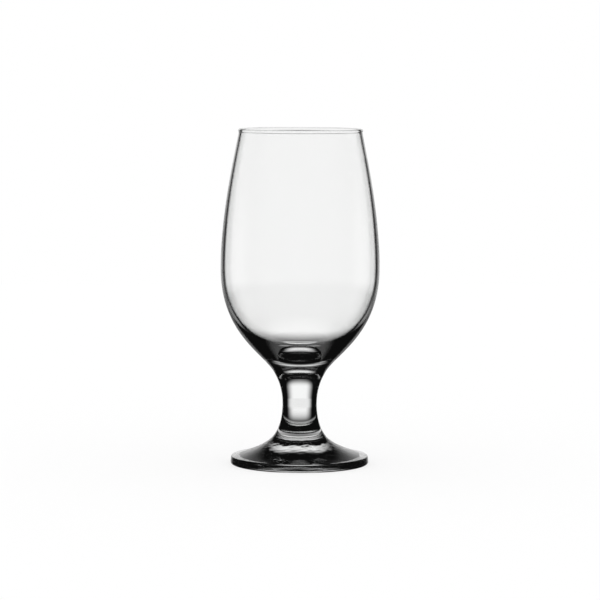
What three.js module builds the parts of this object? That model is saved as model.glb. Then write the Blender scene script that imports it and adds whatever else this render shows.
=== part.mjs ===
// A footed pilsner glass in clear glass: a blown bowl with a bead at the rim, a pressed waisted stem
// and a pressed foot, three separately formed pieces that meet on flat weld faces.
// Units are millimetres, +Z is up, and the table is the plane z = 0.
import * as THREE from 'three';

// Overall
const GLASS_HEIGHT = 168;

// Facets round the axis, along each fair curve, along each rounded edge and over the bead
const FACETS = 64;
const SWEEP_STEPS = 10;
const ROUND_STEPS = 5;
const BEAD_STEPS = 10;

// Bowl, outside
const RIM_RADIUS = 31.15;
const BELLY_RADIUS = 39.75;
const BELLY_HEIGHT = 98.5;
const RIM_LEAN = THREE.MathUtils.degToRad(10.6);
const SHOULDER_SWEEP = 27;
const RIM_SWEEP = 10;
const HEEL_SWEEP = 33.2;

// Bowl, inside
const BEAD_RADIUS = 0.95;
const BEAD_WRAP = THREE.MathUtils.degToRad(50);
const BELLY_WALL = 2.03;
const CAVITY_BELLY_HEIGHT = 98.8;
const BASE_THICKNESS = 9;
const CAVITY_SHOULDER_SWEEP = 30;
const CAVITY_RIM_SWEEP = 13;
const CAVITY_HEEL_SWEEP = 33.9;
const CAVITY_FLOOR_SWEEP = 13.2;

// Weld between bowl and stem
const BOWL_WELD_HEIGHT = 46;
const BOWL_WELD_RADIUS = 12.75;
const BOWL_WELD_FLARE = THREE.MathUtils.degToRad(28);
const BASE_SWEEP = 10.6;

// Stem
const WAIST_RADIUS = 8.65;
const WAIST_HEIGHT = 30;
const WAIST_SWEEP_UP = 8.6;
const NECK_SWEEP = 3.5;
const WAIST_SWEEP_DOWN = 9.6;
const ANKLE_SWEEP = 2.6;

// Weld between stem and foot
const FOOT_WELD_HEIGHT = 14;
const FOOT_WELD_RADIUS = 13.1;
const FOOT_WELD_FLARE = THREE.MathUtils.degToRad(37);

// Foot
const FOOT_RADIUS = 34.6;
const FOOT_EDGE_HEIGHT = 4.2;
const FOOT_EDGE_DRAFT = THREE.MathUtils.degToRad(5);
const FOOT_LOWER_ROUND = 1.1;
const FOOT_UPPER_ROUND = 0.8;
const FOOT_TOP_SLOPE = THREE.MathUtils.degToRad(13);
const FOOT_TOP_SWEEP = 13;
const INSTEP_SWEEP = 3.4;
const REST_RING_WIDTH = 4.5;
const HOLLOW_DEPTH = 0.5;

// Look of the glass
const GLASS_OPACITY = 0.35;

// A unit direction in the outline's plane, leaning out from upright by an angle.
function lean(angle) {
  return new THREE.Vector2(Math.sin(angle), Math.cos(angle));
}

// A fair curve that leaves one point along a direction and arrives at another along a second one.
function sweep(start, leaving, leaveReach, end, arriving, arriveReach) {
  const first = start.clone().addScaledVector(leaving, leaveReach);
  const second = end.clone().addScaledVector(arriving, -arriveReach);
  return new THREE.CubicBezierCurve(start, first, second, end).getPoints(SWEEP_STEPS);
}

// A round stretch about a centre, between two angles measured from straight outwards.
function round(centre, radius, from, to, steps = ROUND_STEPS) {
  return Array.from({ length: steps + 1 }, (_, step) => {
    const angle = THREE.MathUtils.lerp(from, to, step / steps);
    return new THREE.Vector2(centre.x + radius * Math.cos(angle), centre.y + radius * Math.sin(angle));
  });
}

// Joins stretches of an outline that share their end points.
function chain(...stretches) {
  const outline = [];
  for (const stretch of stretches) {
    const shared = outline.length > 0 && outline.at(-1).distanceTo(stretch[0]) < 1e-6;
    outline.push(...(shared ? stretch.slice(1) : stretch));
  }
  return outline;
}

// Turns an outline about the upright axis; it runs anticlockwise from the axis back to the axis.
function turned(name, outline, material) {
  const geometry = new THREE.LatheGeometry(outline, FACETS);
  geometry.rotateX(Math.PI / 2);
  const mesh = new THREE.Mesh(geometry, material);
  mesh.name = name;
  return mesh;
}

// Clear soda-lime glass, with each piece's own trace of tint and surface.
function clearGlass(colour, roughness) {
  const material = new THREE.MeshStandardMaterial({ color: colour, roughness, metalness: 0 });
  material.transparent = true;
  material.opacity = GLASS_OPACITY;
  return material;
}

const UP = lean(0);
const DOWN = lean(Math.PI);
const INWARDS = lean(-Math.PI / 2);

const bowlWeld = new THREE.Vector2(BOWL_WELD_RADIUS, BOWL_WELD_HEIGHT);
const footWeld = new THREE.Vector2(FOOT_WELD_RADIUS, FOOT_WELD_HEIGHT);
const onAxis = (height) => new THREE.Vector2(0, height);

// The outside runs up from the weld over the belly, the bead closes the rim, and the inside runs down
// to the middle of the cavity's floor, so the wall grows from the thin rim to the heavy base.
function makeBowl() {
  const belly = new THREE.Vector2(BELLY_RADIUS, BELLY_HEIGHT);
  const cavityBelly = new THREE.Vector2(BELLY_RADIUS - BELLY_WALL, CAVITY_BELLY_HEIGHT);
  const cavityFloor = onAxis(BOWL_WELD_HEIGHT + BASE_THICKNESS);
  const beadCentre = new THREE.Vector2(RIM_RADIUS - BEAD_RADIUS, GLASS_HEIGHT - BEAD_RADIUS);
  const bead = round(beadCentre, BEAD_RADIUS, -BEAD_WRAP, Math.PI + BEAD_WRAP, BEAD_STEPS);
  const outside = chain(
    sweep(bowlWeld, lean(BOWL_WELD_FLARE), BASE_SWEEP, belly, UP, HEEL_SWEEP),
    sweep(belly, UP, SHOULDER_SWEEP, bead[0], lean(-RIM_LEAN), RIM_SWEEP),
  );
  const inside = chain(
    sweep(bead.at(-1), lean(Math.PI - RIM_LEAN), CAVITY_RIM_SWEEP, cavityBelly, DOWN, CAVITY_SHOULDER_SWEEP),
    sweep(cavityBelly, DOWN, CAVITY_HEEL_SWEEP, cavityFloor, INWARDS, CAVITY_FLOOR_SWEEP),
  );
  const outline = chain([onAxis(BOWL_WELD_HEIGHT)], outside, bead, inside);
  return turned('bowl', outline, clearGlass(0xf2f4f3, 0.03));
}

// The stem narrows from each weld to its waist.
function makeStem() {
  const waist = new THREE.Vector2(WAIST_RADIUS, WAIST_HEIGHT);
  const outline = chain(
    [onAxis(FOOT_WELD_HEIGHT)],
    sweep(footWeld, lean(-FOOT_WELD_FLARE), ANKLE_SWEEP, waist, UP, WAIST_SWEEP_DOWN),
    sweep(waist, UP, WAIST_SWEEP_UP, bowlWeld, lean(BOWL_WELD_FLARE), NECK_SWEEP),
    [onAxis(BOWL_WELD_HEIGHT)],
  );
  return turned('stem', outline, clearGlass(0xeff2f1, 0.05));
}

// The foot stands on a flat ring round its shallow hollow. Its edge leans in a little between two
// rounds, and its top sweeps up from the edge into the stem.
function makeFoot() {
  const restOuter = FOOT_RADIUS - FOOT_LOWER_ROUND;
  const restInner = restOuter - REST_RING_WIDTH;
  const hollowRadius = (restInner ** 2 + HOLLOW_DEPTH ** 2) / (2 * HOLLOW_DEPTH);
  const hollowCentre = onAxis(HOLLOW_DEPTH - hollowRadius);
  const hollowHalfAngle = Math.asin(restInner / hollowRadius);
  const hollow = round(hollowCentre, hollowRadius, Math.PI / 2, Math.PI / 2 - hollowHalfAngle);
  const lowerCentre = new THREE.Vector2(restOuter, FOOT_LOWER_ROUND);
  const lower = round(lowerCentre, FOOT_LOWER_ROUND, -Math.PI / 2, FOOT_EDGE_DRAFT);
  const shoulderAngle = Math.PI / 2 - FOOT_TOP_SLOPE;
  const upperCentreHeight = FOOT_EDGE_HEIGHT - FOOT_UPPER_ROUND * Math.sin(shoulderAngle);
  const rise = upperCentreHeight + FOOT_UPPER_ROUND * Math.sin(FOOT_EDGE_DRAFT) - lower.at(-1).y;
  const upperCentreRadius = lower.at(-1).x - rise * Math.tan(FOOT_EDGE_DRAFT)
    - FOOT_UPPER_ROUND * Math.cos(FOOT_EDGE_DRAFT);
  const upperCentre = new THREE.Vector2(upperCentreRadius, upperCentreHeight);
  const upper = round(upperCentre, FOOT_UPPER_ROUND, FOOT_EDGE_DRAFT, shoulderAngle);
  const uphill = lean(-shoulderAngle);
  const top = sweep(upper.at(-1), uphill, FOOT_TOP_SWEEP, footWeld, lean(-FOOT_WELD_FLARE), INSTEP_SWEEP);
  const outline = chain(hollow, lower, upper, top, [onAxis(FOOT_WELD_HEIGHT)]);
  return turned('foot', outline, clearGlass(0xeceff0, 0.06));
}

const pilsnerGlass = new THREE.Group();
pilsnerGlass.add(makeBowl(), makeStem(), makeFoot());

export default pilsnerGlass;
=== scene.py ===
"""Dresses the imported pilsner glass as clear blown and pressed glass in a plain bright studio.

The glass is three bodies of revolution that meet on flat welds: a blown bowl, a pressed stem and a
pressed foot. Outlines are in millimetres, and the meshes are in metres, in the frame's own axes.
"""

from __future__ import annotations

import logging
import math
from collections.abc import Callable
from dataclasses import dataclass
from enum import Enum
from functools import reduce
from typing import Union

import bpy
import numpy as np
from mathutils import Matrix, Vector


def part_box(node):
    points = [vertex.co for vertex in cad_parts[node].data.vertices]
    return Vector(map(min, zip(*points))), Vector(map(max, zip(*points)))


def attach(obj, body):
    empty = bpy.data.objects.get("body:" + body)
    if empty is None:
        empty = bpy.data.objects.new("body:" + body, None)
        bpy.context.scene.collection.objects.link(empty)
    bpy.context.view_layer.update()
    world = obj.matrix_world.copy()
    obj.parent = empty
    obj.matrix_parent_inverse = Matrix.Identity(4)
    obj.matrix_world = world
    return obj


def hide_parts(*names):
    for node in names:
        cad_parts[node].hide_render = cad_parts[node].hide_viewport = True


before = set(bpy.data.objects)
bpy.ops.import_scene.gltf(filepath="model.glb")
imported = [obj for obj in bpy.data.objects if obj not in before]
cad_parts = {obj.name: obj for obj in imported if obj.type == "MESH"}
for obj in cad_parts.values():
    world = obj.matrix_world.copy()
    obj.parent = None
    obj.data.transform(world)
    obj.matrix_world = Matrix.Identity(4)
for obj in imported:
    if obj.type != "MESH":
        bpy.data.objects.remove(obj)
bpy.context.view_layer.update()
MM = 0.001
LOG = logging.getLogger("pilsner_glass")

# Leans of an outline, in degrees from upright, positive outwards
UP = 0.0
DOWN = 180.0
INWARDS = -90.0

# Angles on a round, in degrees from straight outwards
ROUND_TOP = 90.0
ROUND_BOTTOM = -90.0
ROUND_INSIDE = 180.0

# Faces that meet more sharply than this keep a crisp edge
SHARP_ANGLE = math.radians(40.0)

WHITE = (1.0, 1.0, 1.0, 1.0)

Socket = bpy.types.NodeSocket
Value = Union[float, tuple, Socket]
Relief = Callable[[np.ndarray, np.ndarray, np.ndarray], np.ndarray]


class Zone(Enum):
    """Which finish a stretch of an outline takes; the value is its place among a mesh's materials."""

    CLEAR = 0
    WELD = 1


@dataclass(frozen=True)
class Stretch:
    """Part of an outline: points as rows of radius and height, and the finish they carry."""

    points: np.ndarray
    zone: Zone = Zone.CLEAR


@dataclass(frozen=True)
class Weld:
    """A circle where two pieces are fused: its radius, and the outline's lean there, in degrees."""

    radius: float
    flare: float


BOWL_WELD = Weld(radius=12.75, flare=28.0)
FOOT_WELD = Weld(radius=13.1, flare=37.0)


def lean(degrees: float) -> np.ndarray:
    """Returns the unit direction that leans out from upright by an angle."""
    angle = math.radians(degrees)
    return np.array([math.sin(angle), math.cos(angle)])


def sweep(start: np.ndarray, leaving: float, leave_reach: float, end: np.ndarray,
          arriving: float, arrive_reach: float, steps: int) -> np.ndarray:
    """Draws a fair curve: a cubic Bezier whose two handles lie along the end directions.

    Args:
        start: First point, radius and height.
        leaving: Lean of the curve at its start, in degrees from upright.
        leave_reach: Length of the first handle.
        end: Last point, radius and height.
        arriving: Lean of the curve at its end, in degrees from upright.
        arrive_reach: Length of the second handle.
        steps: Number of chords.

    Returns:
        Points as rows of radius and height.
    """
    gone = np.linspace(0.0, 1.0, steps + 1)[:, None]
    left = 1.0 - gone
    first = start + leave_reach * lean(leaving)
    second = end - arrive_reach * lean(arriving)
    return left**3 * start + 3 * left**2 * gone * first + 3 * left * gone**2 * second + gone**3 * end


def arc(centre: np.ndarray, radius: float, begin: float, end: float, steps: int) -> np.ndarray:
    """Draws a round stretch: centre plus radius times (cos angle, sin angle).

    Args:
        centre: Middle of the round, radius and height.
        radius: Radius of the round.
        begin: First angle, in degrees from straight outwards.
        end: Last angle, in degrees.
        steps: Number of chords.

    Returns:
        Points as rows of radius and height.
    """
    angle = np.radians(np.linspace(begin, end, steps + 1))
    return centre + radius * np.column_stack([np.cos(angle), np.sin(angle)])


def flat(*points: tuple[float, float]) -> np.ndarray:
    """Returns straight stretches through points given as radius and height."""
    return np.array(points, dtype=float)


def join(stretches: list[Stretch]) -> tuple[np.ndarray, np.ndarray]:
    """Joins stretches that share their end points into one outline.

    Args:
        stretches: Stretches in order, each starting where the last one ends.

    Returns:
        The outline's points, and for each chord the number of its zone.
    """
    points = [stretches[0].points[:1]]
    zones = []
    for stretch in stretches:
        points.append(stretch.points[1:])
        zones.append(np.full(len(stretch.points) - 1, stretch.zone.value))
    return np.vstack(points), np.concatenate(zones)


def ring_faces(ring_count: int, facets: int) -> tuple[np.ndarray, np.ndarray]:
    """Lists the faces of a stack of rings that a pole closes at each end.

    Point j of ring i has the number i times facets plus j, and the two poles come after all the rings.

    Args:
        ring_count: Number of rings.
        facets: Number of points in a ring.

    Returns:
        The four-sided faces between the rings, row by row, and the triangles at the first and last pole.
    """
    here = np.arange(facets)
    there = (here + 1) % facets
    row = (np.arange(ring_count - 1) * facets)[:, None]
    next_row = row + facets
    quads = np.stack([row + here, row + there, next_row + there, next_row + here], axis=2)
    last = (ring_count - 1) * facets
    first_pole = np.full(facets, ring_count * facets)
    start_fan = np.column_stack([first_pole, there, here])
    end_fan = np.column_stack([last + here, last + there, first_pole + 1])
    return quads.reshape(-1, 4), np.vstack([start_fan, end_fan])


def fill_mesh(name: str, vertices: np.ndarray, quads: np.ndarray, triangles: np.ndarray,
              zones: np.ndarray) -> bpy.types.Mesh:
    """Makes a mesh from arrays, smooth except at its sharp edges.

    Args:
        name: Name of the new mesh.
        vertices: Places in metres, one row each.
        quads: Vertex numbers of the four-sided faces.
        triangles: Vertex numbers of the three-sided faces.
        zones: Number of each face's zone, four-sided faces first.

    Returns:
        The new mesh.
    """
    corners = np.concatenate([quads.ravel(), triangles.ravel()])
    quad_starts = np.arange(0, quads.size, quads.shape[1])
    triangle_starts = quads.size + np.arange(0, triangles.size, triangles.shape[1])
    starts = np.concatenate([quad_starts, triangle_starts])

    mesh = bpy.data.meshes.new(name)
    mesh.vertices.add(len(vertices))
    mesh.vertices.foreach_set("co", vertices.ravel().astype(np.float32))
    mesh.loops.add(len(corners))
    mesh.loops.foreach_set("vertex_index", corners.astype(np.int32))
    mesh.polygons.add(len(starts))
    mesh.polygons.foreach_set("loop_start", starts.astype(np.int32))
    mesh.polygons.foreach_set("material_index", zones.astype(np.int32))
    mesh.update(calc_edges=True)
    mesh.validate()
    mesh.shade_smooth()
    mesh.set_sharp_from_angle(angle=SHARP_ANGLE)
    return mesh


def revolve(name: str, stretches: list[Stretch], facets: int, relief: Relief) -> bpy.types.Object:
    """Turns an outline about the upright axis into one closed mesh.

    Point (i, j) of the grid is (r_i cos a_j, r_i sin a_j, z_i + relief(r_i, z_i, a_j)), where (r_i, z_i)
    runs along the outline and a_j round the axis. The outline starts and ends on the axis, and its two
    ends become poles.

    Args:
        name: Name of the new object.
        stretches: The outline, anticlockwise as seen with the axis on the left.
        facets: Number of facets round the axis.
        relief: Gives the rise of the surface over the plain turned form.

    Returns:
        The new object, at the origin, with its faces pointing outwards.
    """
    outline, zones = join(stretches)
    turn = np.linspace(0.0, 2.0 * math.pi, facets, endpoint=False)
    radius = outline[1:-1, :1]
    height = outline[1:-1, 1:]
    lifted = height + relief(radius, height, turn)
    grid = np.stack([radius * np.cos(turn), radius * np.sin(turn), lifted], axis=2)
    poles = np.array([[0.0, 0.0, outline[0, 1]], [0.0, 0.0, outline[-1, 1]]])
    vertices = np.vstack([grid.reshape(-1, 3), poles]) * MM
    quads, fans = ring_faces(len(radius), facets)
    face_zones = np.repeat(np.concatenate([zones[1:-1], zones[[0, -1]]]), facets)
    piece = bpy.data.objects.new(name, fill_mesh(name, vertices, quads, fans, face_zones))
    bpy.context.scene.collection.objects.link(piece)
    return piece


class NodeSheet:
    """A thin hand over a node tree, so that a material reads as a list of what it does."""

    def __init__(self, tree: bpy.types.NodeTree) -> None:
        """Empties the tree and keeps it."""
        self.tree = tree
        tree.nodes.clear()

    def add(self, kind: str, settings: dict | None = None, **inputs: Value) -> bpy.types.Node:
        """Adds a node.

        Args:
            kind: The node's type name.
            settings: The node's own properties.
            inputs: Input names, with underscores for spaces, each given a value or a socket to link from.

        Returns:
            The new node.
        """
        node = self.tree.nodes.new(kind)
        for key, value in (settings or {}).items():
            setattr(node, key, value)
        for key, value in inputs.items():
            self.feed(node.inputs[key.replace("_", " ")], value)
        return node

    def feed(self, socket: Socket, value: Value) -> None:
        """Links a socket from another one, or sets its value."""
        if isinstance(value, Socket):
            self.tree.links.new(value, socket)
        else:
            socket.default_value = value

    def math(self, operation: str, *values: Value) -> Socket:
        """Adds a Math node.

        Args:
            operation: The node's operation.
            values: Numbers or sockets, in order.

        Returns:
            The result's socket.
        """
        node = self.add("ShaderNodeMath", {"operation": operation})
        for socket, value in zip(node.inputs, values):
            self.feed(socket, value)
        return node.outputs[0]

    def product(self, *values: Value) -> Socket:
        """Multiplies two or more values, and returns the result's socket."""
        return reduce(lambda total, value: self.math("MULTIPLY", total, value), values)

    def greatest(self, *values: Value) -> Socket:
        """Takes the greatest of two or more values, and returns the result's socket."""
        return reduce(lambda most, value: self.math("MAXIMUM", most, value), values)

    def at_least(self, count: Socket, number: int) -> Socket:
        """Tells whether a whole count reaches a number, as one or nought."""
        half_step = 0.5
        return self.math("GREATER_THAN", count, number - half_step)

    def ramp(self, value: Value, low: float, high: float, at_low: float, at_high: float) -> Socket:
        """Adds a smooth step from one level to another.

        Args:
            value: The socket to read.
            low: Where the step starts.
            high: Where the step ends.
            at_low: Level before the step.
            at_high: Level after it.

        Returns:
            The result's socket.
        """
        node = self.add("ShaderNodeMapRange", {"interpolation_type": "SMOOTHSTEP"}, Value=value,
                        From_Min=low, From_Max=high, To_Min=at_low, To_Max=at_high)
        return node.outputs["Result"]

    def blend(self, share: Value, first: Value, second: Value) -> Socket:
        """Adds a blend: the first value where the share is nought, and the second where it is one.

        Args:
            share: Number or socket between nought and one.
            first: Number or socket.
            second: Number or socket.

        Returns:
            The result's socket.
        """
        return self.math("MULTIPLY_ADD", share, self.math("SUBTRACT", second, first), first)

    def mix(self, share: Value, first: Socket, second: Socket) -> Socket:
        """Adds a Mix Shader: the first shader where the share is nought, and the second where it is one.

        Args:
            share: Number or socket between nought and one.
            first: A shader's socket.
            second: A shader's socket.

        Returns:
            The mixed shader's socket.
        """
        node = self.add("ShaderNodeMixShader")
        for socket, value in zip(node.inputs, (share, first, second)):
            self.feed(socket, value)
        return node.outputs["Shader"]

    def clear(self) -> Socket:
        """Adds a shader that light goes straight through, and returns its socket."""
        return self.add("ShaderNodeBsdfTransparent").outputs["BSDF"]

    def glow(self, level: float) -> Socket:
        """Adds a shader that gives off white light, and returns its socket."""
        return self.add("ShaderNodeEmission", Color=WHITE, Strength=level).outputs["Emission"]

    def across(self, way: bpy.types.Node) -> Socket:
        """Measures how far a direction or place lies to either side of straight behind the glass.

        Args:
            way: A Separate XYZ node.

        Returns:
            The angle's socket, in degrees.
        """
        turn = self.math("ARCTAN2", way.outputs["X"], way.outputs["Y"])
        return self.math("ABSOLUTE", self.math("DEGREES", turn))


class RayHistory:
    """Tells kinds of light apart by where a ray has been; each answer is a socket of one or nought.

    Light that goes straight through one piece crosses two faces.
    """

    one_piece_faces: int = 2

    def __init__(self, sheet: NodeSheet) -> None:
        """Adds a Light Path node to a sheet."""
        self.sheet = sheet
        self.path = sheet.add("ShaderNodeLightPath").outputs

    def from_camera(self) -> Socket:
        """Tells light that the camera sees directly."""
        return self.path["Is Camera Ray"]

    def from_glass(self) -> Socket:
        """Tells light that last met glass."""
        return self.sheet.greatest(self.path["Is Glossy Ray"], self.path["Is Transmission Ray"])

    def thrown_back(self, times: int = 1) -> Socket:
        """Tells light that glass has thrown back, outside or inside, at least so many times."""
        return self.sheet.at_least(self.path["Glossy Depth"], times)

    def entered(self) -> Socket:
        """Tells light that has been inside glass."""
        return self.sheet.at_least(self.path["Transmission Depth"], 1)

    def crossed_walls(self) -> Socket:
        """Tells light that has crossed both of the bowl's walls, so more faces than one piece has."""
        return self.sheet.at_least(self.path["Transmission Depth"], self.one_piece_faces + 1)

    def left_bowl(self) -> Socket:
        """Tells light that last met the bowl, whose fire polish scatters none, as pressed pieces do."""
        return self.path["Is Singular Ray"]


@dataclass(frozen=True)
class ClearGlass:
    """Clear soda-lime glass: nearly colourless, polished, with a faint unevenness of its surface.

    Waves are the long unevenness of the surface, and film is the patchy change from polish to haze.
    """

    name: str
    tint: tuple[float, float, float]
    wave_scale: float
    wave_height: float
    polish: float
    haze: float
    wave_detail: float = 2.0
    wave_roughness: float = 0.4
    film_scale: float = 90.0
    film_detail: float = 3.0
    film_start: float = 0.45
    film_full: float = 0.7
    refraction: float = 1.52

    def material(self) -> bpy.types.Material:
        """Builds the material.

        Returns:
            A glass whose roughness and bump come from noise in the piece's own coordinates.
        """
        made = bpy.data.materials.new(self.name)
        made.use_nodes = True
        sheet = NodeSheet(made.node_tree)
        place = sheet.add("ShaderNodeTexCoord").outputs["Object"]
        wave = sheet.add("ShaderNodeTexNoise", Vector=place, Scale=self.wave_scale, Detail=self.wave_detail,
                         Roughness=self.wave_roughness)
        bump = sheet.add("ShaderNodeBump", Height=wave.outputs["Fac"], Strength=1.0,
                         Distance=self.wave_height)
        film = sheet.add("ShaderNodeTexNoise", Vector=place, Scale=self.film_scale, Detail=self.film_detail)
        rough = sheet.ramp(film.outputs["Fac"], self.film_start, self.film_full, self.polish, self.haze)
        shader = sheet.add("ShaderNodeBsdfPrincipled", Base_Color=(*self.tint, 1.0), Roughness=rough,
                           IOR=self.refraction, Normal=bump.outputs["Normal"], Transmission_Weight=1.0)
        sheet.add("ShaderNodeOutputMaterial", Surface=shader.outputs["BSDF"])
        return made


@dataclass(frozen=True)
class FusedWeld:
    """The flat face where two pieces have run together: glass to glass, so light goes straight through."""

    name: str = "fused_weld"

    def material(self) -> bpy.types.Material:
        """Builds the material, which bends and stops no light."""
        made = bpy.data.materials.new(self.name)
        made.use_nodes = True
        sheet = NodeSheet(made.node_tree)
        sheet.add("ShaderNodeOutputMaterial", Surface=sheet.clear())
        return made


def node_span(node: str) -> tuple[float, float, float]:
    """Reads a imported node's size from the frame.

    Args:
        node: Name of a node of revolution.

    Returns:
        Its lowest height, highest height and largest radius, in millimetres.
    """
    low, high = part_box(node)
    return low.z / MM, high.z / MM, high.x / MM


@dataclass
class Piece:
    """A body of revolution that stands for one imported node."""

    node: str
    slot: str
    finish: ClearGlass
    facets: int = 192

    def stretches(self) -> list[Stretch]:
        """Returns the piece's outline, from the axis round to the axis."""
        raise NotImplementedError

    def relief(self, radius: np.ndarray, height: np.ndarray, turn: np.ndarray) -> np.ndarray:
        """Gives the surface's rise over the plain turned form, which is nought unless a piece has marks.

        Args:
            radius: Radii of the rings, as a column.
            height: Heights of the rings, as a column.
            turn: Angles round the axis, as a row.

        Returns:
            The rise at every ring and angle, in millimetres.
        """
        return np.zeros((len(height), len(turn)))

    def build(self, weld: bpy.types.Material) -> bpy.types.Object:
        """Builds the mesh, dresses it and hands it to the frame.

        Args:
            weld: The finish of the piece's weld faces.

        Returns:
            The finished piece.
        """
        piece = revolve(f"{self.node}_glass", self.stretches(), self.facets, self.relief)
        piece.data.materials.append(self.finish.material())
        piece.data.materials.append(weld)
        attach(piece, "root")
        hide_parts(self.node)
        return piece


@dataclass
class Bowl(Piece):
    """The blown bowl: a wall that thickens from the beaded rim down to a heavy base."""

    belly_height: float = 98.5
    rim_radius: float = 31.15
    rim_lean: float = 10.6
    shoulder_sweep: float = 27.0
    rim_sweep: float = 10.0
    heel_sweep: float = 33.2
    bead_radius: float = 0.95
    bead_wrap: float = 50.0
    belly_wall: float = 2.03
    cavity_belly_height: float = 98.8
    base_thickness: float = 9.0
    cavity_shoulder_sweep: float = 30.0
    cavity_rim_sweep: float = 13.0
    cavity_heel_sweep: float = 33.9
    cavity_floor_sweep: float = 13.2
    weld: Weld = BOWL_WELD
    base_sweep: float = 10.6
    steps: int = 64
    bead_steps: int = 28

    def stretches(self) -> list[Stretch]:
        """Draws the outside up to the bead, then the inside down to the middle of the cavity's floor."""
        bottom, top, belly_radius = node_span(self.node)
        weld = np.array([self.weld.radius, bottom])
        belly = np.array([belly_radius, self.belly_height])
        cavity_belly = np.array([belly_radius - self.belly_wall, self.cavity_belly_height])
        cavity_floor = np.array([0.0, bottom + self.base_thickness])
        bead_centre = np.array([self.rim_radius - self.bead_radius, top - self.bead_radius])
        bead = arc(bead_centre, self.bead_radius, -self.bead_wrap, ROUND_INSIDE + self.bead_wrap,
                   self.bead_steps)
        return [
            Stretch(flat((0.0, bottom), tuple(weld)), Zone.WELD),
            Stretch(sweep(weld, self.weld.flare, self.base_sweep,
                          belly, UP, self.heel_sweep, self.steps)),
            Stretch(sweep(belly, UP, self.shoulder_sweep,
                          bead[0], -self.rim_lean, self.rim_sweep, self.steps)),
            Stretch(bead),
            Stretch(sweep(bead[-1], DOWN - self.rim_lean, self.cavity_rim_sweep,
                          cavity_belly, DOWN, self.cavity_shoulder_sweep, self.steps)),
            Stretch(sweep(cavity_belly, DOWN, self.cavity_heel_sweep,
                          cavity_floor, INWARDS, self.cavity_floor_sweep, self.steps)),
        ]


@dataclass
class Stem(Piece):
    """The pressed stem: solid, drawn in to a waist between its two welds."""

    upper_weld: Weld = BOWL_WELD
    neck_sweep: float = 3.5
    waist_radius: float = 8.65
    waist_height: float = 30.0
    waist_sweep_up: float = 8.6
    waist_sweep_down: float = 9.6
    ankle_sweep: float = 2.6
    lower_weld: Weld = FOOT_WELD
    steps: int = 56

    def stretches(self) -> list[Stretch]:
        """Draws the lower weld, the outside over the waist, and the upper weld."""
        bottom, top, _ = node_span(self.node)
        ankle = np.array([self.lower_weld.radius, bottom])
        waist = np.array([self.waist_radius, self.waist_height])
        neck = np.array([self.upper_weld.radius, top])
        return [
            Stretch(flat((0.0, bottom), tuple(ankle)), Zone.WELD),
            Stretch(sweep(ankle, -self.lower_weld.flare, self.ankle_sweep,
                          waist, UP, self.waist_sweep_down, self.steps)),
            Stretch(sweep(waist, UP, self.waist_sweep_up,
                          neck, self.upper_weld.flare, self.neck_sweep, self.steps)),
            Stretch(flat(tuple(neck), (0.0, top)), Zone.WELD),
        ]


@dataclass(frozen=True)
class ChillWave:
    """One slanting wave of the chill ripples: waves round the axis, waves outwards and where it starts."""

    round_count: int
    outward_rate: float
    start: float

    def rise(self, radius: np.ndarray, turn: np.ndarray) -> np.ndarray:
        """Returns sin(round_count a + outward_rate r + start) at every radius and angle."""
        return np.sin(self.round_count * turn + self.outward_rate * radius + self.start)


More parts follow.
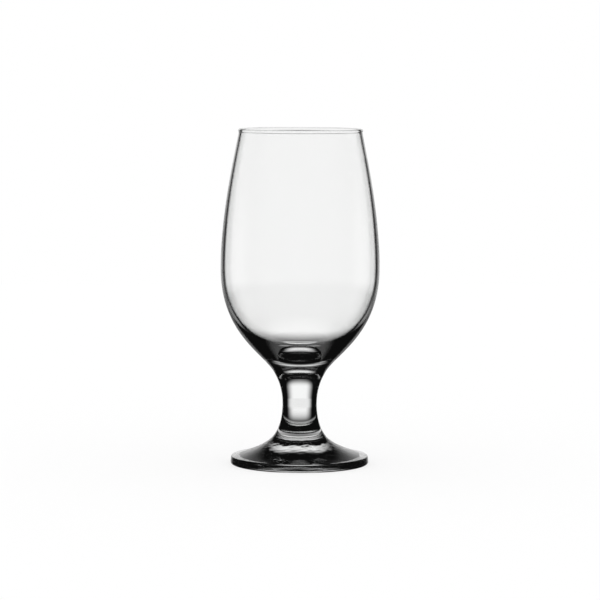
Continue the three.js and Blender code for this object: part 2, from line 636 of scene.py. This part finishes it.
@dataclass
class Foot(Piece):
    """The pressed foot: a disc swept up into the stem, on a flat ring round a shallow hollow."""

    weld: Weld = FOOT_WELD
    instep_sweep: float = 3.4
    top_sweep: float = 13.0
    top_slope: float = 13.0
    edge_height: float = 4.2
    edge_draft: float = 5.0
    lower_round: float = 1.1
    upper_round: float = 0.8
    rest_width: float = 4.5
    hollow_depth: float = 0.5
    chill_radius: float = 17.5
    chill_width: float = 4.0
    chill_height: float = 0.07
    chill_waves: tuple[ChillWave, ...] = (
        ChillWave(7, 2.6, 0.0),
        ChillWave(-12, 2.1, 1.1),
        ChillWave(19, 3.1, 2.3),
        ChillWave(-27, 1.2, 4.0),
    )
    steps: int = 64
    round_steps: int = 16

    def relief(self, radius: np.ndarray, height: np.ndarray, turn: np.ndarray) -> np.ndarray:
        """Draws the chill ripples that pressing leaves on the top: crossed waves, strongest at one radius.

        The rise is chill_height times the mean of the waves, times
        exp(-((r - chill_radius) / chill_width)^2), on the top only.

        Args:
            radius: Radii of the rings, as a column.
            height: Heights of the rings, as a column.
            turn: Angles round the axis, as a row.

        Returns:
            The rise at every ring and angle, in millimetres.
        """
        waves = sum(wave.rise(radius, turn) for wave in self.chill_waves) / len(self.chill_waves)
        bell = np.exp(-(((radius - self.chill_radius) / self.chill_width) ** 2))
        on_top = (height > self.edge_height) & (radius > self.weld.radius)
        return np.where(on_top, self.chill_height * bell * waves, 0.0)

    def stretches(self) -> list[Stretch]:
        """Draws the hollow, the resting ring, the edge between its two rounds, the top and the weld."""
        bottom, top, radius = node_span(self.node)
        rest_outer = radius - self.lower_round
        rest_inner = rest_outer - self.rest_width
        hollow_radius = (rest_inner**2 + self.hollow_depth**2) / (2.0 * self.hollow_depth)
        hollow_centre = np.array([0.0, bottom + self.hollow_depth - hollow_radius])
        half_angle = math.degrees(math.asin(rest_inner / hollow_radius))
        hollow = arc(hollow_centre, hollow_radius, ROUND_TOP, ROUND_TOP - half_angle, self.round_steps)
        lower_centre = np.array([rest_outer, bottom + self.lower_round])
        lower = arc(lower_centre, self.lower_round, ROUND_BOTTOM, self.edge_draft, self.round_steps)
        shoulder = ROUND_TOP - self.top_slope
        draft = math.radians(self.edge_draft)
        upper_height = bottom + self.edge_height - self.upper_round * math.sin(math.radians(shoulder))
        rise = upper_height + self.upper_round * math.sin(draft) - lower[-1, 1]
        upper_radius = lower[-1, 0] - rise * math.tan(draft) - self.upper_round * math.cos(draft)
        upper_centre = np.array([upper_radius, upper_height])
        upper = arc(upper_centre, self.upper_round, self.edge_draft, shoulder, self.round_steps)
        weld = np.array([self.weld.radius, top])
        return [
            Stretch(hollow),
            Stretch(flat(tuple(hollow[-1]), tuple(lower[0]))),
            Stretch(lower),
            Stretch(flat(tuple(lower[-1]), tuple(upper[0]))),
            Stretch(upper),
            Stretch(sweep(upper[-1], -shoulder, self.top_sweep,
                          weld, -self.weld.flare, self.instep_sweep, self.steps)),
            Stretch(flat(tuple(weld), (0.0, top)), Zone.WELD),
        ]


@dataclass(frozen=True)
class Camera:
    """The photograph's view: a long lens a little above the glass."""

    distance: float = 1.431
    height: float = 0.208
    aim_height: float = 0.0824
    lens: float = 172.2
    sensor: float = 36.0
    roll: float = 0.2

    def place(self) -> None:
        """Adds the camera and makes it the scene's own."""
        data = bpy.data.cameras.new("camera")
        data.lens = self.lens
        data.sensor_width = self.sensor
        camera = bpy.data.objects.new("camera", data)
        bpy.context.scene.collection.objects.link(camera)
        eye = Vector((0.0, -self.distance, self.height))
        target = Vector((0.0, 0.0, self.aim_height))
        facing = (target - eye).to_track_quat("-Z", "Y").to_matrix().to_4x4()
        tilt = Matrix.Rotation(math.radians(self.roll), 4, "Z")
        camera.matrix_world = Matrix.Translation(eye) @ facing @ tilt
        bpy.context.scene.camera = camera


@dataclass(frozen=True)
class Heading:
    """Which way light goes: degrees to either side of a middle, and degrees up from level."""

    across: Socket
    rise: Socket


@dataclass(frozen=True)
class Edge:
    """A soft edge of light: half-way at a place, and spread to both sides of it, in degrees or metres."""

    place: float
    spread: float

    def past(self, sheet: NodeSheet, value: Socket) -> Socket:
        """Adds a step from nought to one as the value passes the edge, and returns its socket."""
        return sheet.ramp(value, self.place - self.spread, self.place + self.spread, 0.0, 1.0)

    def short(self, sheet: NodeSheet, value: Socket) -> Socket:
        """Adds a step from one to nought as the value passes the edge, and returns its socket."""
        return sheet.ramp(value, self.place - self.spread, self.place + self.spread, 1.0, 0.0)


# Past half a turn, so a panel with this side goes all the way round
ALL_ROUND = Edge(200.0, 10.0)


@dataclass(frozen=True)
class Panel:
    """A soft white panel: its level, and its edges as angles across the room and up it."""

    level: float
    side: Edge
    bottom: Edge
    top: Edge

    def glow(self, sheet: NodeSheet, heading: Heading) -> Socket:
        """Adds the panel's light: its level times one step for each edge.

        Args:
            sheet: The world's nodes.
            heading: Which way the light goes, with the panel's middle as the middle.

        Returns:
            The light's socket.
        """
        upright = sheet.product(self.bottom.past(sheet, heading.rise), self.top.short(sheet, heading.rise))
        return sheet.product(self.side.short(sheet, heading.across), upright, self.level)


@dataclass(frozen=True)
class Studio:
    """A white room set for clear glass: soft panels with dark between them, and a pale floor.

    The camera sees white. Glass sees the room in four ways. Light that crossed the bowl's two walls sees
    white, with a shade under the glass. Light through solid glass sees the panel behind it, windows round
    the rest of the room and pale floor. Light that pressed glass throws back sees one panel in the dark,
    which draws its edges. Light that the bowl throws back sees a narrower panel, and pale sides and floor.
    Angles are in degrees, across from straight behind the glass and up from level. The floor's edges are
    radii in metres.
    """

    # Seen through solid glass
    behind: Panel = Panel(1.02, side=Edge(24.0, 12.0), bottom=Edge(-20.0, 11.0), top=Edge(24.0, 10.0))
    window: Panel = Panel(1.02, side=Edge(14.0, 8.0), bottom=Edge(-20.0, 11.0), top=Edge(24.0, 10.0))
    window_spacing: float = 45.0
    window_start: Edge = Edge(68.0, 4.0)
    near_floor: Edge = Edge(-31.0, 8.0)
    bowl_floor: Edge = Edge(-7.0, 3.0)
    bowl_floor_start: Edge = Edge(30.0, 6.0)
    strip_start: Edge = Edge(0.17, 0.04)

    # Seen through the bowl's two walls
    white: float = 1.05
    shade: Edge = Edge(0.1, 0.08)
    sky: Edge = Edge(-12.0, 3.0)
    steep: Edge = Edge(-51.0, 6.0)
    steep_under_foot: Edge = Edge(-68.0, 6.0)

    # Thrown back by pressed glass
    mirrored: Panel = Panel(1.0, side=Edge(24.0, 11.0), bottom=Edge(-9.0, 28.0), top=Edge(22.0, 14.0))

    # Thrown back by the bowl
    bowl_mirrored: Panel = Panel(1.0, side=Edge(18.0, 10.0), bottom=Edge(-9.0, 28.0), top=Edge(22.0, 14.0))
    outer_sides: Panel = Panel(1.0, side=ALL_ROUND, bottom=Edge(-12.0, 4.0), top=Edge(30.0, 10.0))
    inner_sides: Panel = Panel(0.6, side=Edge(85.0, 20.0), bottom=Edge(-14.0, 4.0), top=Edge(30.0, 10.0))
    sides_start: Edge = Edge(38.0, 5.0)
    low_sides: Panel = Panel(0.4, side=Edge(25.0, 4.0), bottom=Edge(-26.0, 4.0), top=Edge(-14.0, 4.0))
    low_sides_start: Edge = Edge(12.0, 4.0)
    mirrored_steep: Edge = Edge(-58.0, 7.0)

    # Levels and sizes of the whole room
    glass_floor: float = 0.9
    dark: float = 0.004
    floor_reach: float = 1.1
    floor_white: float = 0.95
    floor_glow: float = 0.7
    room_level: float = 1.06
    bounces: int = 40

    def light(self) -> None:
        """Lights the room: white to the camera, even to the floor, and in four ways to glass."""
        world = bpy.data.worlds.new("studio")
        bpy.context.scene.world = world
        world.use_nodes = True
        sheet = NodeSheet(world.node_tree)
        ray = RayHistory(sheet)
        outwards = sheet.add("ShaderNodeTexCoord").outputs["Generated"]
        way = sheet.add("ShaderNodeSeparateXYZ", Vector=outwards)
        rise = sheet.math("DEGREES", sheet.math("ARCSINE", way.outputs["Z"]))
        heading = Heading(sheet.across(way), rise)
        solid = self.through_solid(sheet, ray, heading)
        walls = self.through_walls(sheet, ray, heading)
        straight = sheet.blend(ray.crossed_walls(), solid, walls)
        pressed = sheet.greatest(self.mirrored.glow(sheet, heading), self.dark)
        bowl = self.thrown_by_bowl(sheet, ray, heading)
        thrown = sheet.blend(ray.left_bowl(), pressed, bowl)
        glass = sheet.blend(ray.thrown_back(), straight, thrown)
        plain = sheet.blend(ray.from_camera(), self.room_level, 1.0)
        level = sheet.blend(ray.from_glass(), plain, glass)
        shader = sheet.add("ShaderNodeBackground", Color=WHITE, Strength=level)
        sheet.add("ShaderNodeOutputWorld", Surface=shader.outputs["Background"])

    def through_solid(self, sheet: NodeSheet, ray: RayHistory, heading: Heading) -> Socket:
        """Adds what solid glass shows: the panel, windows round the rest of the room, and pale floor.

        Args:
            sheet: The world's nodes.
            ray: Where the light has been.
            heading: Which way it goes.

        Returns:
            The light's socket.
        """
        from_window = sheet.math("PINGPONG", heading.across, self.window_spacing / 2.0)
        window = self.window.glow(sheet, Heading(from_window, heading.rise))
        windows = sheet.product(window, self.window_start.past(sheet, heading.across))
        at_sides = sheet.product(self.bowl_floor.short(sheet, heading.rise),
                                 self.bowl_floor_start.past(sheet, heading.across), ray.left_bowl())
        pale = sheet.greatest(self.near_floor.short(sheet, heading.rise), at_sides)
        floor = sheet.product(pale, self.glass_floor)
        return sheet.greatest(self.behind.glow(sheet, heading), windows, floor, self.dark)

    def through_walls(self, sheet: NodeSheet, ray: RayHistory, heading: Heading) -> Socket:
        """Adds what the bowl's two walls show past the floor: white, but for a dark band below level.

        Args:
            sheet: The world's nodes.
            ray: Where the light has been.
            heading: Which way it goes.

        Returns:
            The light's socket.
        """
        under_foot = self.steep_under_foot.short(sheet, heading.rise)
        steep = sheet.blend(ray.left_bowl(), under_foot, self.steep.short(sheet, heading.rise))
        pale = sheet.greatest(self.sky.past(sheet, heading.rise), steep)
        return sheet.product(pale, self.white)

    def thrown_by_bowl(self, sheet: NodeSheet, ray: RayHistory, heading: Heading) -> Socket:
        """Adds what the bowl throws back: its panel, pale sides and pale floor, with dark between them.

        The outer face shows the sides all the way round. Inside the glass they show only in light that was
        thrown back once, so the heavy base stays dark.

        Args:
            sheet: The world's nodes.
            ray: Where the light has been.
            heading: Which way it goes.

        Returns:
            The light's socket.
        """
        inner = sheet.blend(ray.thrown_back(2), self.inner_sides.glow(sheet, heading), 0.0)
        seen = sheet.blend(ray.entered(), self.outer_sides.glow(sheet, heading), inner)
        sides = sheet.product(seen, self.sides_start.past(sheet, heading.across))
        low_sides = sheet.product(self.low_sides.glow(sheet, heading),
                                  self.low_sides_start.past(sheet, heading.across))
        floor = sheet.product(self.mirrored_steep.short(sheet, heading.rise), self.glass_floor)
        return sheet.greatest(self.bowl_mirrored.glow(sheet, heading), sides, low_sides, floor, self.dark)

    def floor_material(self) -> bpy.types.Material:
        """Builds the floor's material.

        To the camera it is pale. To light that crossed the bowl's walls it is white, with a soft shade
        under the glass. Light through solid glass meets a lit strip below the panel. All other light in
        glass passes on to the room.

        Returns:
            The material.
        """
        made = bpy.data.materials.new("pale_floor")
        made.use_nodes = True
        sheet = NodeSheet(made.node_tree)
        ray = RayHistory(sheet)
        place = sheet.add("ShaderNodeTexCoord").outputs["Object"]
        radius = sheet.add("ShaderNodeVectorMath", {"operation": "LENGTH"}, Vector=place).outputs["Value"]
        across = sheet.across(sheet.add("ShaderNodeSeparateXYZ", Vector=place))
        clear = sheet.clear()
        grey = (self.floor_white, self.floor_white, self.floor_white, 1.0)
        paint = sheet.add("ShaderNodeBsdfDiffuse", Color=grey).outputs["BSDF"]
        pale = sheet.mix(sheet.product(ray.from_camera(), self.floor_glow), paint, sheet.glow(1.0))
        strip = sheet.product(self.strip_start.past(sheet, radius), self.behind.side.short(sheet, across))
        solid = sheet.mix(strip, clear, sheet.glow(self.glass_floor))
        walls = sheet.mix(self.shade.past(sheet, radius), clear, sheet.glow(self.white))
        straight = sheet.mix(ray.crossed_walls(), solid, walls)
        in_glass = sheet.mix(ray.thrown_back(), straight, clear)
        sheet.add("ShaderNodeOutputMaterial", Surface=sheet.mix(ray.from_glass(), pale, in_glass))
        return made

    def lay_floor(self) -> None:
        """Lays the floor, which takes the glass's faint shadow."""
        reach = self.floor_reach
        corners = [(-reach, -reach, 0.0), (reach, -reach, 0.0), (reach, reach, 0.0), (-reach, reach, 0.0)]
        mesh = bpy.data.meshes.new("floor")
        mesh.from_pydata(corners, [], [(0, 1, 2, 3)])
        mesh.materials.append(self.floor_material())
        floor = bpy.data.objects.new("floor", mesh)
        bpy.context.scene.collection.objects.link(floor)

    def settle(self) -> None:
        """Sets how colours are shown and how many times light may pass through glass."""
        scene = bpy.context.scene
        scene.view_settings.view_transform = "Standard"
        scene.cycles.max_bounces = self.bounces
        scene.cycles.transmission_bounces = self.bounces
        scene.cycles.glossy_bounces = self.bounces
        scene.cycles.transparent_max_bounces = self.bounces


BLOWN = ClearGlass("blown_glass", tint=(0.985, 0.987, 0.985), wave_scale=60.0, wave_height=0.00002,
                   polish=0.0, haze=0.0)
PRESSED_STEM = ClearGlass("pressed_stem", tint=(0.98, 0.985, 0.982), wave_scale=90.0, wave_height=0.00002,
                          polish=0.01, haze=0.015)
PRESSED_FOOT = ClearGlass("pressed_foot", tint=(0.98, 0.985, 0.982), wave_scale=160.0, wave_height=0.00004,
                          polish=0.01, haze=0.02)


def main() -> None:
    """Builds the studio and the three pieces of the glass, and reports each piece."""
    logging.basicConfig(level=logging.INFO, format="%(name)s: %(message)s")
    Camera().place()
    studio = Studio()
    studio.settle()
    studio.light()
    studio.lay_floor()
    weld = FusedWeld().material()
    pieces = [
        Bowl("bowl", "blown_glass", BLOWN),
        Stem("stem", "pressed_glass", PRESSED_STEM),
        Foot("foot", "pressed_glass", PRESSED_FOOT),
    ]
    for piece in pieces:
        made = piece.build(weld)
        LOG.info("%s: %d faces", made.name, len(made.data.polygons))


if __name__ == "__main__":
    main()
